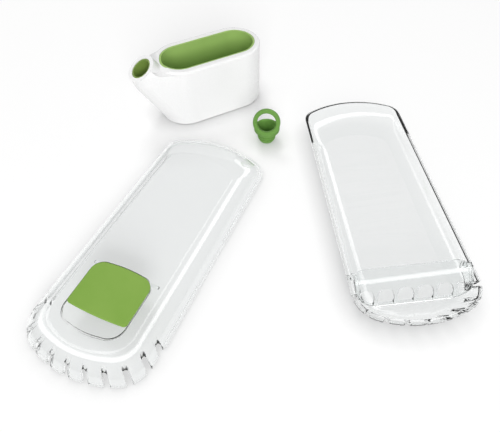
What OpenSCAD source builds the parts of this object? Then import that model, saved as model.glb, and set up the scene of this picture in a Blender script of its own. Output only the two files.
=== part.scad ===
// Herb keeper, laid out as for filling: a white water base with a spout, its stopper,
// the clear tray with its stem comb, and the clear cover with its press latch.
// Millimetres, +Z up. The origin is under the middle of the base's well, on the table.
// The base's long axis is X, with the spout towards -X.

/* [Pod] */
// Length of the pod from its toothed end to its top
pod_length = 238; // [210:1:280]
// Half width of the pod near its toothed end
pod_end_half = 49.9; // [46:0.1:56]
// Half width of the pod near its top
pod_top_half = 47.1; // [43:0.1:54]
// Corner radius at the toothed end
end_corner = 25; // [18:0.5:32]
// Radius of the toothed end's long arc
end_arc = 90; // [80:1:140]
// Corner radius at the top
top_corner = 14; // [10:0.5:24]
// Radius of the top's long arc
top_arc = 87; // [76:1:140]
// Depth of each half of the pod
half_depth = 17.5; // [14:0.5:20]
// Wall of the clear halves
pod_wall = 2; // [1.6:0.1:2.4]
// How far the sides lean in on the way to the flat face
side_round = 15; // [10:0.5:18]
// How far the toothed end leans in on the way to the flat face
end_round = 15; // [10:0.5:18]
// How far the top leans in on the way to the flat face
top_round = 29; // [20:0.5:34]
// How much smaller the tray's edge is than the cover's, on each side
tray_inset = 2.3; // [2.1:0.1:3]

/* [Teeth] */
// Distance between two notches, along the edge
notch_pitch = 15.2; // [12:0.1:16]
// Width of a notch
notch_width = 4.6; // [3:0.2:6]
// Height of a notch from the edge
notch_height = 12; // [8:0.5:12.5]
// Notches on each side of the middle one
side_notches = 4; // [2:1:4]

/* [Cover rails] */
// How far the rail stands out from the cover's wall
rail_out = 1.5; // [1.2:0.1:2.4]
// Height of the thin lip that runs all along
lip_height = 1.2; // [1:0.1:1.6]
// Height of the long upper rail
upper_rail_height = 4; // [2.5:0.1:5]
// Height of the short lower rail
lower_rail_height = 3.4; // [2.5:0.1:5]
// Distance from the toothed end at which the lower rail starts
rail_start = 44; // [42:1:50]
// Distance from the toothed end at which the lower rail stops
rail_stop = 95; // [80:1:105]
// Distance from the toothed end at which the upper rail starts
rail_again = 140; // [115:1:160]
// Length of the gap in the upper rail at one top corner
corner_gap = 14; // [8:1:18]

/* [Press latch] */
// Distance from the toothed end to the latch's free end
latch_start = 27; // [26:0.5:32]
// Length of the latch
latch_length = 53.5; // [50:0.5:56]
// Width of the latch
latch_width = 49.4; // [44:0.1:52]
// Corner radius at the latch's free end
latch_corner = 12; // [8:0.5:14]
// Corner radius at the latch's hinged end
hinge_corner = 10; // [6:0.5:14]
// Gap between the latch's free end and the cover
latch_gap = 1.2; // [0.8:0.1:2]
// Length of the clear strip left bare in front of the green pad
bare_strip = 12.5; // [12:0.5:16]
// Thickness of the green pad
pad_thick = 1.2; // [1:0.1:2.5]
// How deep the pad is set into the latch
pad_seat = 0.5; // [0.3:0.1:0.8]
// Radius of the pins that the latch turns on
latch_pin = 1.2; // [1:0.1:1.4]

/* [Stem comb] */
// Distance from the toothed end to the comb's free edge
comb_back = 47; // [45:0.5:50]
// Length of the comb's curve along the tray
comb_reach = 22; // [20:0.5:24]
// Height of the comb's curve
comb_rise = 18; // [16:0.5:20]
// Thickness of the comb
comb_thick = 2; // [1.6:0.1:2.4]
// Distance between two windows
window_pitch = 14.7; // [14:0.1:15.5]
// Width of a window
window_width = 12; // [9:0.2:12.6]
// Height of the windows' tops above the table
window_top = 17; // [15:0.5:17.5]
// Radius of the pins that the comb turns on
pin_radius = 2; // [1.5:0.1:2.4]

/* [Base] */
// Height of the base's rim above the table
base_height = 60.5; // [50:0.5:70]
// Half length of the base's body at its rim
base_half_length = 51.7; // [50:0.1:60]
// Half width of the base's body
base_half_width = 25.4; // [24.5:0.1:29]
// Wall of the white shell
base_wall = 2.5; // [2:0.1:3]
// Radius of the edge round the bottom
bottom_edge = 2; // [1:0.5:4]
// Half length of the well's mouth
well_half_length = 45; // [43:0.5:46]
// Half width of the well's mouth
well_half_width = 17.8; // [16:0.1:18.2]
// Wall of the green tank
tank_wall = 1.6; // [1.2:0.1:2]
// Thickness of the soft pad under the base
foot_height = 0.8; // [0.7:0.1:2]

/* [Spout] */
// Distance from the well's middle to the middle of the spout's mouth
spout_reach = 65.2; // [63:0.1:72]
// Height of the middle of the spout's mouth
spout_height = 60.5; // [56:0.5:68]
// Lean of the spout's mouth from level
spout_tilt = 32; // [26:1:38]
// Outer radius of the spout's lip
lip_radius = 13.8; // [12.5:0.1:15]
// Bore radius of the green spout liner
liner_bore = 8.7; // [8.5:0.1:9.6]
// Wall of the spout liner
liner_wall = 1.3; // [1:0.1:1.6]

/* [Stopper] */
// Radius of the stopper's lip
stopper_lip = 11.9; // [11:0.1:14]
// Radius of the stopper's neck
stopper_neck = 8.6; // [8:0.1:9]
// Radius of the stopper's tip
stopper_tip = 7; // [6:0.1:7.6]
// Height of the stopper up to its neck
stopper_body = 10; // [8:0.5:16]
// Sealing ribs round the stopper
stopper_ribs = 2; // [1:1:3]
// Outer radius of the ring pull
ring_radius = 12.5; // [11:0.1:13.5]
// Thickness of the ring pull's band
ring_thick = 4; // [3:0.1:4.5]
// Width of the ring pull's band
ring_width = 4.5; // [3:0.1:5]

/* [Layout] */
// Place of the cover's top end, along X
cover_x = -18.7; // [-70:0.1:-15]
// Place of the cover's top end, along Y
cover_y = -68.1; // [-110:0.1:-66]
// Turn of the cover from the X axis
cover_turn = 38.3; // [36:0.1:40]
// Place of the tray's top end, along X
tray_x = 108.6; // [100:0.1:150]
// Place of the tray's top end, along Y
tray_y = -79.9; // [-130:0.1:-76]
// Turn of the tray from the X axis
tray_turn = 69.7; // [66:0.1:72]
// Place of the stopper along X
stopper_x = 23.3; // [10:0.1:28]
// Place of the stopper along Y
stopper_y = -75.1; // [-84:0.1:-70]
// Direction that the ring pull faces
stopper_turn = 236; // [226:1:250]

/* [Hidden] */

$fn = 64;
clear = 0.2;          // gap between pieces that are fitted and stay still
slip = 0.3;           // gap between pieces that move past each other
through = 1;          // how far a cut runs past the face that it opens
arc_steps = 10;       // straight pieces in each arc of the pod's outline
dome_steps = 10;      // steps from the pod's edge to its flat face
clear_tint = "#dfe8e6";
leaf_green = "#8baf54";
silicone_green = "#6da544";
shell_white = "#f4f5f4";

// ---------------------------------------------------------------- the pod's outline

// Distance of a corner's centre from its end, for an end arc that blends into a corner
function corner_back(arc_r, corner_r, half) =
    arc_r - sqrt(pow(arc_r - corner_r, 2) - pow(half - corner_r, 2));

end_back = corner_back(end_arc, end_corner, pod_end_half);
top_back = corner_back(top_arc, top_corner, pod_top_half);
end_turn = atan2(pod_end_half - end_corner, end_arc - end_back);
top_turn = atan2(pod_top_half - top_corner, top_arc - top_back);

function arc(centre, r, from, to) =
    [for (i = [0 : arc_steps]) let (a = from + (to - from) * i / arc_steps)
        centre + r * [cos(a), sin(a)]];

// One side of the outline, from the toothed end's middle to the top's middle
pod_side = concat(
    arc([end_arc, 0], end_arc, 180, 180 - end_turn),
    arc([end_back, pod_end_half - end_corner], end_corner, 180 - end_turn - 3, 90),
    arc([pod_length - top_back, pod_top_half - top_corner], top_corner, 90, top_turn + 3),
    arc([pod_length - top_arc, 0], top_arc, top_turn, 0));
side_count = len(pod_side);

// The whole outline, anticlockwise
pod_outline = concat(
    [for (i = [side_count - 1 : -1 : 0]) pod_side[i]],
    [for (i = [1 : side_count - 2]) [pod_side[i][0], -pod_side[i][1]]]);

// The outline drawn in by one amount at each end and another along the sides
function drawn_in(end_in, top_in, side_in) =
    [for (p = pod_outline)
        [end_in + p[0] * (pod_length - end_in - top_in) / pod_length,
         p[1] * (pod_end_half - side_in) / pod_end_half]];

function at_height(points, z) = [for (p = points) [p[0], p[1], z]];

// Rings of a rounded half: edge at height 0, flat face at the given height
function dome(height, start_in) =
    [for (k = [0 : dome_steps]) let (t = 90 * k / dome_steps, lean = 1 - cos(t))
        at_height(drawn_in(start_in + end_round * lean, start_in + top_round * lean,
                           start_in + side_round * lean), height * sin(t))];

// A closed solid through a stack of rings that each have as many points
module loft(rings) {
    n = len(rings[0]);
    last = (len(rings) - 1) * n;
    walls = [for (k = [0 : len(rings) - 2], i = [0 : n - 1])
        let (j = (i + 1) % n, a = k * n, b = a + n)
            each [[a + i, b + i, b + j], [a + i, b + j, a + j]]];
    floor_face = [for (i = [0 : n - 1]) i];
    roof_face = [for (i = [n - 1 : -1 : 0]) last + i];
    polyhedron(points = [for (r = rings) each r], faces = concat([floor_face, roof_face], walls));
}

// One clear half, edge down and face up, drawn in by the given amount
module half_shell(start_in) {
    hollow_in = start_in + pod_wall;
    difference() {
        loft(dome(half_depth, start_in));
        loft(concat([at_height(drawn_in(hollow_in, hollow_in, hollow_in), -through)],
                    dome(half_depth - pod_wall, hollow_in)));
    }
}

// ---------------------------------------------------------------- teeth

end_arc_length = end_arc * end_turn * PI / 180;
corner_length = end_corner * (90 - end_turn) * PI / 180;

// Place and inward direction of the point that lies s along the edge from the toothed end
function edge_place(s) =
    s < end_arc_length
        ? let (a = s / end_arc * 180 / PI)
            [end_arc - end_arc * cos(a), end_arc * sin(a), -a]
    : s < end_arc_length + corner_length
        ? let (a = end_turn + (s - end_arc_length) / end_corner * 180 / PI)
            [end_back - end_corner * cos(a), pod_end_half - end_corner + end_corner * sin(a), -a]
    : [end_back + s - end_arc_length - corner_length, pod_end_half, -90];

// A slot with a round top, cut inwards through the wall at the origin
module notch(width, height) {
    deep = 2 * pod_wall + 9;
    translate([-3, -width / 2, -through]) cube([deep, width, through + height - width / 2]);
    translate([-3, 0, height - width / 2]) rotate([0, 90, 0]) cylinder(h = deep, d = width);
}

module notch_row() {
    for (i = [0 : side_notches], side = i == 0 ? [1] : [-1, 1]) {
        p = edge_place(i * notch_pitch);
        translate([p[0], side * p[1], 0]) rotate([0, 0, side * p[2]]) notch(notch_width, notch_height);
    }
}

// ---------------------------------------------------------------- tray and comb

pivot_x = comb_back - 2;
pivot_z = half_depth - 3.2;
pin_gap = 0.06;
boss_radius = pin_radius + 1.6;
side_gap = 1.6;
// The tray's inner wall at the pivot, which is still nearly upright there
wall_inside = pod_end_half - tray_inset - pod_wall;

module on_tray() {
    translate([tray_x, tray_y, 0]) rotate([0, 0, tray_turn]) translate([-pod_length, 0, 0]) children();
}

// Turns a half over, so that its edge is on top
module face_down() {
    translate([0, 0, half_depth]) mirror([0, 0, 1]) children();
}

// The thicker band round the tray's edge
module tray_band() {
    band = 3;
    intersection() {
        loft(dome(half_depth, tray_inset));
        difference() {
            linear_extrude(band) polygon(drawn_in(tray_inset, tray_inset, tray_inset));
            translate([0, 0, -through]) linear_extrude(band + 2 * through)
                polygon(drawn_in(tray_inset + band, tray_inset + band, tray_inset + band));
        }
    }
}

module tray_shell() {
    color(clear_tint, 0.45) on_tray() difference() {
        face_down() difference() {
            union() {
                half_shell(tray_inset);
                tray_band();
            }
            translate([tray_inset, 0, 0]) notch_row();
        }
        for (side = [-1, 1]) translate([pivot_x, side * (wall_inside + pod_wall), pivot_z])
            rotate([90, 0, 0])
                cylinder(h = 4 * pod_wall, r = pin_radius + pin_gap, center = true);
    }
}

comb_half = wall_inside - side_gap;
cheek = 2.4;
window_foot = 6.5;
windows = 6;

// The comb's curve from the side: a quarter of an ellipse, thick all along
comb_centre_z = half_depth + 4.5 - comb_rise;
function comb_curve(grow) =
    [for (a = [90 : 5 : 180])
        [comb_back + (comb_reach + grow) * cos(a), comb_centre_z + (comb_rise + grow) * sin(a)]];

module comb_profile() {
    outer = comb_curve(0);
    inner = comb_curve(-comb_thick);
    polygon(concat(outer, [for (i = [len(inner) - 1 : -1 : 0]) inner[i]]));
}

// A window that the stems go through, seen along the tray
module window_shape() {
    top_r = 5;
    hull() {
        translate([-window_width / 2, window_foot]) square([window_width, 1]);
        for (side = [-1, 1]) translate([side * (window_width / 2 - top_r), window_top - top_r])
            circle(r = top_r, $fn = 32);
    }
}

// The room inside the tray, drawn in a little more and carried straight up past its edge
module tray_room(more) {
    room_in = tray_inset + pod_wall + side_gap + more;
    face_down() loft(concat([at_height(drawn_in(room_in, room_in, room_in), -2 * half_depth)],
                            dome(half_depth - pod_wall - slip, room_in)));
}

module stem_comb() {
    color(clear_tint, 0.45) on_tray() {
        intersection() {
            tray_room(0);
            difference() {
                union() {
                    translate([0, comb_half, 0]) rotate([90, 0, 0])
                        linear_extrude(2 * comb_half) comb_profile();
                    for (side = [-1, 1])
                        translate([0, side * (comb_half - cheek / 2) + cheek / 2, 0])
                            rotate([90, 0, 0]) linear_extrude(cheek) hull() {
                                comb_profile();
                                translate([pivot_x, pivot_z]) circle(r = boss_radius, $fn = 32);
                            }
                }
                intersection() {
                    tray_room(cheek);
                    for (i = [0 : windows - 1])
                        translate([comb_back - comb_thick, (i - (windows - 1) / 2) * window_pitch, 0])
                            rotate([90, 0, -90]) linear_extrude(comb_reach + through) window_shape();
                }
            }
        }
        for (side = [-1, 1]) translate([pivot_x, side * (comb_half - cheek / 2), pivot_z])
            rotate([-90 * side, 0, 0])
                cylinder(h = cheek / 2 + side_gap + pod_wall - slip, r = pin_radius);
    }
}

// ---------------------------------------------------------------- cover and latch

side_gap_place = 39;
side_gap_width = 5;
side_gap_height = 9;
hinge_x = latch_start + latch_length - 2.5;
hinge_z = half_depth - pod_wall - 2.5;
knuckle = latch_pin + 1;
knuckle_half = 18;
boss_inside = knuckle_half + 0.5;
boss_outside = latch_width / 2 + 3.3;
latch_side = 0.4;     // gap along each side of the latch
latch_behind = 0.6;   // gap behind the latch's hinged end

module on_cover() {
    translate([cover_x, cover_y, 0]) rotate([0, 0, cover_turn]) translate([-pod_length, 0, 0]) children();
}

// A plate with one corner radius at its near end and another at its far end
module latch_shape(start, length, width, near, far) {
    for (side = [-1, 1]) {
        translate([start + near, side * (width / 2 - near)]) circle(r = near);
        translate([start + length - far, side * (width / 2 - far)]) circle(r = far);
    }
    translate([start, near - width / 2]) square([near, width - 2 * near]);
    translate([start + near, -width / 2]) square([length - near - far, width]);
    translate([start + length - far, far - width / 2]) square([far, width - 2 * far]);
}

module rail(from, to, height) {
    intersection() {
        linear_extrude(height) difference() {
            polygon(drawn_in(0, -rail_out, -rail_out));
            polygon(drawn_in(pod_wall / 2, pod_wall / 2, pod_wall / 2));
        }
        translate([from, -2 * pod_end_half, -through])
            cube([to - from, 4 * pod_end_half, height + 2 * through]);
    }
}

module cover_rails() {
    past_top = pod_length + 2 * rail_out;
    rail(rail_start, past_top, lip_height);
    rail(rail_start, rail_stop, lower_rail_height);
    difference() {
        rail(rail_again, past_top, upper_rail_height);
        translate([pod_length - top_corner, -pod_top_half + top_corner, lip_height])
            cube([2 * top_corner, corner_gap, upper_rail_height]);
    }
}

// The two bosses under the cover's face that the latch's pins turn in
module hinge_bosses() {
    boss_low = hinge_z - knuckle - 0.2;
    boss_high = half_depth - pod_wall - 0.5;
    difference() {
        for (side = [-1, 1]) {
            translate([hinge_x - 2.5, side * (boss_inside + boss_outside) / 2 - (boss_outside - boss_inside) / 2,
                       boss_low])
                cube([5, boss_outside - boss_inside, boss_high - boss_low]);
            translate([hinge_x - 2.5, side * (boss_outside - 1.3) - 1.3, boss_high - through])
                cube([5, 2.6, 2 + through]);
        }
        translate([hinge_x, 0, hinge_z]) rotate([90, 0, 0])
            cylinder(h = 3 * latch_width, r = latch_pin + pin_gap, center = true);
    }
}

module cover_shell() {
    color(clear_tint, 0.45) on_cover() {
        difference() {
            union() {
                half_shell(0);
                cover_rails();
            }
            notch_row();
            for (side = [-1, 1]) translate([side_gap_place, side * pod_end_half, 0])
                rotate([0, 0, -90 * side]) notch(side_gap_width, side_gap_height);
            translate([0, 0, half_depth - pod_wall - through]) linear_extrude(pod_wall + 2 * through)
                latch_shape(latch_start - latch_gap, latch_length + latch_gap + latch_behind,
                            latch_width + 2 * latch_side, latch_corner + latch_side,
                            hinge_corner + latch_side);
        }
        hinge_bosses();
    }
}

module latch_plate() {
    color(clear_tint, 0.45) on_cover() {
        difference() {
            translate([0, 0, half_depth - pod_wall]) linear_extrude(pod_wall)
                latch_shape(latch_start, latch_length, latch_width, latch_corner, hinge_corner);
            translate([latch_start + bare_strip, -latch_width, half_depth - pad_seat])
                cube([latch_length, 2 * latch_width, pad_seat + through]);
        }
        translate([hinge_x, 0, hinge_z]) rotate([90, 0, 0])
            cylinder(h = 2 * knuckle_half, r = knuckle, center = true);
        translate([hinge_x - knuckle, -knuckle_half, hinge_z])
            cube([knuckle + 1.5, 2 * knuckle_half, half_depth - pod_wall + 0.5 - hinge_z]);
        translate([hinge_x, 0, hinge_z]) rotate([90, 0, 0])
            cylinder(h = 2 * boss_outside - 0.6, r = latch_pin, center = true);
    }
}

module grip_pad() {
    edge = 0.5;
    length = latch_length - bare_strip;
    near = 2;
    color(leaf_green) on_cover() translate([0, 0, half_depth - pad_seat]) {
        linear_extrude(pad_thick - edge)
            latch_shape(latch_start + bare_strip, length, latch_width, near, hinge_corner);
        translate([0, 0, pad_thick - edge]) linear_extrude(edge)
            latch_shape(latch_start + bare_strip + edge, length - 2 * edge, latch_width - 2 * edge,
                        near - edge, hinge_corner - edge);
    }
}

// ---------------------------------------------------------------- base

rim_centre = base_half_length - base_half_width;
sunk = 0.25;
well_centre = well_half_length - well_half_width;
rim_round = 2.2;
collar = 4;
knee_radius = lip_radius - 1.3;
knee_height = spout_height - 18.5;
knee_x = spout_reach - 4.7;
dip_radius = 11;
dip_height = base_height - 2.3 + dip_radius;
dip_x = well_half_length + 5.5;
saddle_start = 2;     // how far beside the saddle's lowest line the wedge is level
tank_bottom = foot_height + 4.2;
tank_floor = 1.8;
tank_top = base_height - 0.4;
plate_thick = 1.2;
plate_half_width = 15;
inner_edge = max(bottom_edge - base_wall, 0.5);
flange_thick = 1.5;
flange_gap = 0.7;
collar_depth = 16;

// A flat shape with round ends and straight sides
module stadium(half_length, half_width) {
    centre = half_length - half_width;
    for (x = [-centre, centre]) translate([x, 0]) circle(r = half_width);
    translate([-centre, -half_width]) square([2 * centre, 2 * half_width]);
}

module on_spout() {
    translate([-spout_reach, 0, spout_height]) rotate([0, -spout_tilt, 0]) children();
}

// The round edge of one end of the body
module round_end(x, z, r, edge) {
    translate([x, 0, z]) rotate_extrude($fn = 48) translate([r - edge, 0]) circle(r = edge, $fn = 20);
}

// The saddle between the well and the spout
module dip(grow) {
    translate([-dip_x, 0, dip_height]) rotate([90, 0, 0])
        cylinder(h = 4 * base_half_width, r = dip_radius + grow, center = true);
}

// Half of the body's section across, with round edges at its foot and rim
module body_section(wall, top_edge) {
    out = base_half_width - wall;
    low = foot_height + wall;
    high = base_height - wall;
    edge = wall == 0 ? bottom_edge : inner_edge;
    translate([0, low]) square([out - edge, edge]);
    translate([0, low + edge]) square([out, high - low - edge - top_edge]);
    translate([0, high - top_edge]) square([out - top_edge, top_edge]);
    translate([out - edge, low + edge]) circle(r = edge);
    translate([out - top_edge, high - top_edge]) circle(r = top_edge);
}

// The body without its spout, drawn in by a wall
module body_form(wall, top_edge) {
    for (x = [-rim_centre, rim_centre]) translate([x, 0, 0]) rotate_extrude() body_section(wall, top_edge);
    translate([-rim_centre, 0, 0]) rotate([90, 0, 90]) linear_extrude(2 * rim_centre) {
        body_section(wall, top_edge);
        mirror([1, 0]) body_section(wall, top_edge);
    }
}

// The wedge that carries the spout, cut level with the saddle over the body
module spout_form(wall) {
    saddle = dip_height - sqrt(pow(dip_radius + wall, 2) - pow(saddle_start, 2)) - sunk / 5;
    r = base_half_width - wall - sunk;
    edge = wall == 0 ? bottom_edge : inner_edge;
    difference() {
        hull() {
            round_end(-rim_centre, foot_height + wall + sunk + edge, r, edge);
            translate([-rim_centre, 0, saddle - collar]) cylinder(h = collar + 1, r = r, $fn = 48);
            translate([-knee_x, 0, knee_height])
                cylinder(h = collar, r = knee_radius - wall, $fn = 32);
            on_spout() translate([0, 0, -collar - wall - 2 * sunk])
                cylinder(h = collar, r = lip_radius - wall - sunk, $fn = 32);
        }
        translate([saddle_start - dip_x, -base_height, saddle]) cube(2 * base_height);
    }
}

module base_shell() {
    color(shell_white) difference() {
        union() {
            difference() {
                union() {
                    body_form(0, rim_round);
                    spout_form(0);
                }
                dip(0);
                difference() {
                    union() {
                        body_form(base_wall, 0.5);
                        spout_form(base_wall);
                    }
                    dip(base_wall);
                }
            }
            on_spout() translate([0, 0, -collar_depth]) cylinder(h = collar_depth, r = lip_radius);
        }
        translate([0, 0, tank_bottom]) linear_extrude(base_height)
            stadium(well_half_length + tank_wall + clear, well_half_width + tank_wall + clear);
        on_spout() translate([0, 0, -collar_depth - through])
            cylinder(h = collar_depth + 2 * through, r = liner_bore + liner_wall + clear);
        translate([0, 0, foot_height - through]) linear_extrude(plate_thick + through)
            stadium(plate_half_width + well_centre, plate_half_width);
        linear_extrude(foot_height + base_wall + through)
            stadium(plate_half_width - 1.5 + well_centre, plate_half_width - 1.5);
    }
}

module water_tank() {
    port_length = 48;
    flange_end = 36;
    color(leaf_green) difference() {
        union() {
            translate([0, 0, tank_bottom]) linear_extrude(tank_top - tank_bottom)
                stadium(well_half_length + tank_wall, well_half_width + tank_wall);
            intersection() {
                translate([0, 0, base_height - base_wall - flange_thick]) linear_extrude(flange_thick)
                    stadium(base_half_length - base_wall - flange_gap,
                            base_half_width - base_wall - flange_gap);
                translate([-flange_end, -base_half_width, 0])
                    cube([flange_end + base_half_length, 2 * base_half_width, base_height]);
            }
        }
        translate([0, 0, tank_bottom + tank_floor]) linear_extrude(base_height)
            stadium(well_half_length, well_half_width);
        on_spout() translate([0, 0, -port_length]) cylinder(h = port_length, r = liner_bore);
        dip(2 * clear);
    }
}

module spout_liner() {
    liner_length = 46;
    set_back = 0.5;
    color(leaf_green) difference() {
        on_spout() translate([0, 0, -liner_length]) difference() {
            cylinder(h = liner_length - set_back, r = liner_bore + liner_wall);
            translate([0, 0, -through]) cylinder(h = liner_length + 2 * through, r = liner_bore);
        }
        translate([0, 0, -through]) linear_extrude(2 * base_height)
            stadium(well_half_length + tank_wall + clear, well_half_width + tank_wall + clear);
    }
}

module base_plate() {
    color(shell_white) {
        translate([0, 0, foot_height]) linear_extrude(plate_thick)
            stadium(plate_half_width - clear + well_centre, plate_half_width - clear);
        translate([0, 0, foot_height]) linear_extrude(tank_bottom - foot_height)
            stadium(plate_half_width - 1.5 - clear + well_centre, plate_half_width - 1.5 - clear);
    }
}

module foot_pad() {
    half_width = plate_half_width - 1;
    color("#6b6f6d") linear_extrude(foot_height) stadium(half_width + well_centre, half_width);
}

// ---------------------------------------------------------------- stopper

lip_flare = 2.5;
lip_band = 2.5;
stopper_top = stopper_body + lip_flare + lip_band;
cup_wall = 1.8;
cup_floor = 2;
rib_bar = 0.8;
ring_lean = 25;

// Radius of the stopper's body at a height
function stopper_r(z) = stopper_tip + (stopper_neck - stopper_tip) * z / stopper_body;

module spout_stopper() {
    color(silicone_green) translate([stopper_x, stopper_y, 0]) rotate([0, 0, stopper_turn]) {
        difference() {
            union() {
                cylinder(h = stopper_body, r1 = stopper_tip, r2 = stopper_neck);
                translate([0, 0, stopper_body])
                    cylinder(h = lip_flare, r1 = stopper_neck, r2 = stopper_lip);
                translate([0, 0, stopper_body + lip_flare]) cylinder(h = lip_band, r = stopper_lip);
                for (i = [1 : stopper_ribs]) {
                    z = i * stopper_body / (stopper_ribs + 1);
                    translate([0, 0, z]) rotate_extrude()
                        translate([stopper_r(z), 0]) circle(r = rib_bar, $fn = 24);
                }
            }
            translate([0, 0, cup_floor])
                cylinder(h = stopper_top, r1 = stopper_tip - cup_wall, r2 = stopper_lip - cup_wall);
        }
        // The ring pull stands on the front of the lip and leans back over the cup
        translate([stopper_lip - 0.7, 0, stopper_top - 0.8])
            rotate([0, -ring_lean, 0]) translate([0, 0, ring_radius])
                rotate([0, 90, 0]) rotate_extrude() translate([ring_radius - ring_thick, -ring_width / 2])
                    square([ring_thick, ring_width]);
    }
}

base_shell();
water_tank();
spout_liner();
base_plate();
foot_pad();
spout_stopper();
tray_shell();
stem_comb();
cover_shell();
latch_plate();
grip_pad();
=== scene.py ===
# %% [markdown]
# # Herb keeper, laid out for filling
# Four things lie on a pale table: a white water base with a green well and a spout, the
# spout's green stopper, a clear tray with a comb across its toothed end, and a clear cover
# with a green press latch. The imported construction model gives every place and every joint.
# The cells below work out the visible surfaces with numpy and give each one its finish.

# %% Load the construction model
import math

import bpy
import numpy as np
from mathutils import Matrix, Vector


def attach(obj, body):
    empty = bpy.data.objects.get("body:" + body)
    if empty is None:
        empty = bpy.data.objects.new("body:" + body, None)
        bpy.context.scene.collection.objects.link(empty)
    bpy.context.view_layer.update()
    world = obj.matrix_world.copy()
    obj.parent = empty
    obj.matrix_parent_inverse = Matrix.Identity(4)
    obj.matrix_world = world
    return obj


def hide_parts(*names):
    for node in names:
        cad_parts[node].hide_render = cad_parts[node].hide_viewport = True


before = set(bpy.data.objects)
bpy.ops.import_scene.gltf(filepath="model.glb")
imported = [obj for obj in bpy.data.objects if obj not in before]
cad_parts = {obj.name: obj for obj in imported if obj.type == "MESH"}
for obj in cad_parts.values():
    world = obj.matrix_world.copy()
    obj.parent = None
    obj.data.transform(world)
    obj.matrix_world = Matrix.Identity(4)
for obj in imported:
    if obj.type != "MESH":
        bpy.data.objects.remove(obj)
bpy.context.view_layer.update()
MM = 0.001

# %% [markdown]
# ## The camera
# The photograph looks down on the table at about 52 degrees. Its focal length came from
# fitting one pinhole camera to the outlines of the three large pieces, so the same camera
# can be placed here in millimetres, in the frame of the base.

# %% Camera
CAMERA_PLACE = (-149.98, -376.85, 327.1)   # mm
CAMERA_DOWN = 52.15                       # degrees below level
CAMERA_TURN = 27.27                       # degrees clockwise from +Y
FOCAL_SHARE = 494.11 / 500.0              # focal length over the picture's width
SENSOR = 36.0

camera_data = bpy.data.cameras.new("camera")
camera_data.sensor_fit = "HORIZONTAL"
camera_data.sensor_width = SENSOR
camera_data.lens = SENSOR * FOCAL_SHARE
camera_data.clip_start = 0.01
camera = bpy.data.objects.new("camera", camera_data)
camera.location = [c * MM for c in CAMERA_PLACE]
camera.rotation_euler = (math.radians(90 - CAMERA_DOWN), 0, math.radians(-CAMERA_TURN))
bpy.context.collection.objects.link(camera)
bpy.context.scene.camera = camera
bpy.context.scene.view_settings.view_transform = "Standard"

# %% [markdown]
# ## Surfaces from rings
# Most pieces here are moulded shells. A moulded shell is a stack of closed rings: ring by
# ring the outline moves outwards, upwards, over the edge and down the inside again. All the
# rings of one piece have as many points, so the piece is one grid: the row is the ring, the
# column is the place along the outline.

# %% Grid helpers
def volume(points, faces):
    """Signed volume under the faces: each face is a fan of triangles from its first corner."""
    total = 0.0
    for size in {len(face) for face in faces}:
        group = points[np.array([face for face in faces if len(face) == size])]
        first = group[:, 0]
        for k in range(1, size - 1):
            total += np.sum(first * np.cross(group[:, k], group[:, k + 1])) / 6
    return total


def facing_out(points, faces):
    """The faces, all turned round if they look inwards, so that the outside is outside."""
    if volume(points - points.mean(axis=0), faces) < 0:
        return [face[::-1] for face in faces]
    return faces


def new_object(name, points, faces, material):
    """A smooth-shaded object of points (n, 3) in millimetres and faces."""
    mesh = bpy.data.meshes.new(name)
    mesh.from_pydata((points * MM).tolist(), [], faces)
    mesh.validate()
    mesh.polygons.foreach_set("use_smooth", np.ones(len(mesh.polygons), bool))
    mesh.materials.append(material)
    made = bpy.data.objects.new(name, mesh)
    bpy.context.collection.objects.link(made)
    return made


def make_piece(name, points, faces, body, material, flat_angle=40, normals=None):
    """A closed piece that rides on a body, sharp where its faces meet at flat_angle or more.

    Where normals (n, 3) are given and aren't nought, the shading uses them."""
    piece = new_object(name, points, facing_out(points, faces), material)
    piece.data.set_sharp_from_angle(angle=math.radians(flat_angle))
    if normals is not None:
        piece.data.normals_split_custom_set_from_vertices(normals.tolist())
    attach(piece, body)
    return piece


def round_off(piece, width):
    """A fine bevel of the given width in millimetres on the piece's sharp edges."""
    bevel = piece.modifiers.new("round_edges", "BEVEL")
    bevel.width = width * MM
    bevel.segments = 4
    bevel.limit_method = "ANGLE"
    bevel.angle_limit = math.radians(50)


def ring_faces(rows, columns, cap_first=True, cap_last=True, join_last=False):
    """Quads between each ring and the next; caps or a join with the first ring close the ends."""
    r = np.arange(rows if join_last else rows - 1)[:, None]
    c = np.arange(columns)[None, :]
    here, after = r * columns, ((r + 1) % rows) * columns
    beside = (c + 1) % columns
    quads = np.stack([here + c, here + beside, after + beside, after + c], -1)
    faces = quads.reshape(-1, 4).tolist()
    if cap_first and not join_last:
        faces.append(list(range(columns))[::-1])
    if cap_last and not join_last:
        faces.append(list(range((rows - 1) * columns, rows * columns)))
    return faces


def stack(rings, **how):
    """Points and faces of rings given as an array (rows, columns, 3)."""
    rows, columns = rings.shape[:2]
    return rings.reshape(-1, 3), ring_faces(rows, columns, **how)


def arc(centre, radius, start, stop, count):
    """count points on a circle's arc from one angle to another, in degrees."""
    a = np.radians(np.linspace(start, stop, count))
    return np.stack([centre[0] + radius * np.cos(a), centre[1] + radius * np.sin(a)], -1)


def even_loop(points, count):
    """The closed polyline's points moved along it to equal spacing."""
    closed = np.vstack([points, points[:1]])
    gaps = np.linalg.norm(np.diff(closed, axis=0), axis=1)
    along = np.concatenate([[0], np.cumsum(gaps)])
    want = np.linspace(0, along[-1], count, endpoint=False)
    return np.stack([np.interp(want, along, closed[:, k]) for k in range(closed.shape[1])], -1)


def lerp(a, b, share):
    """The value that lies the given share of the way from a to b."""
    return a + (b - a) * share


def unit(vectors):
    """The vectors, each with length 1."""
    return vectors / np.linalg.norm(vectors, axis=-1, keepdims=True)


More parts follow.
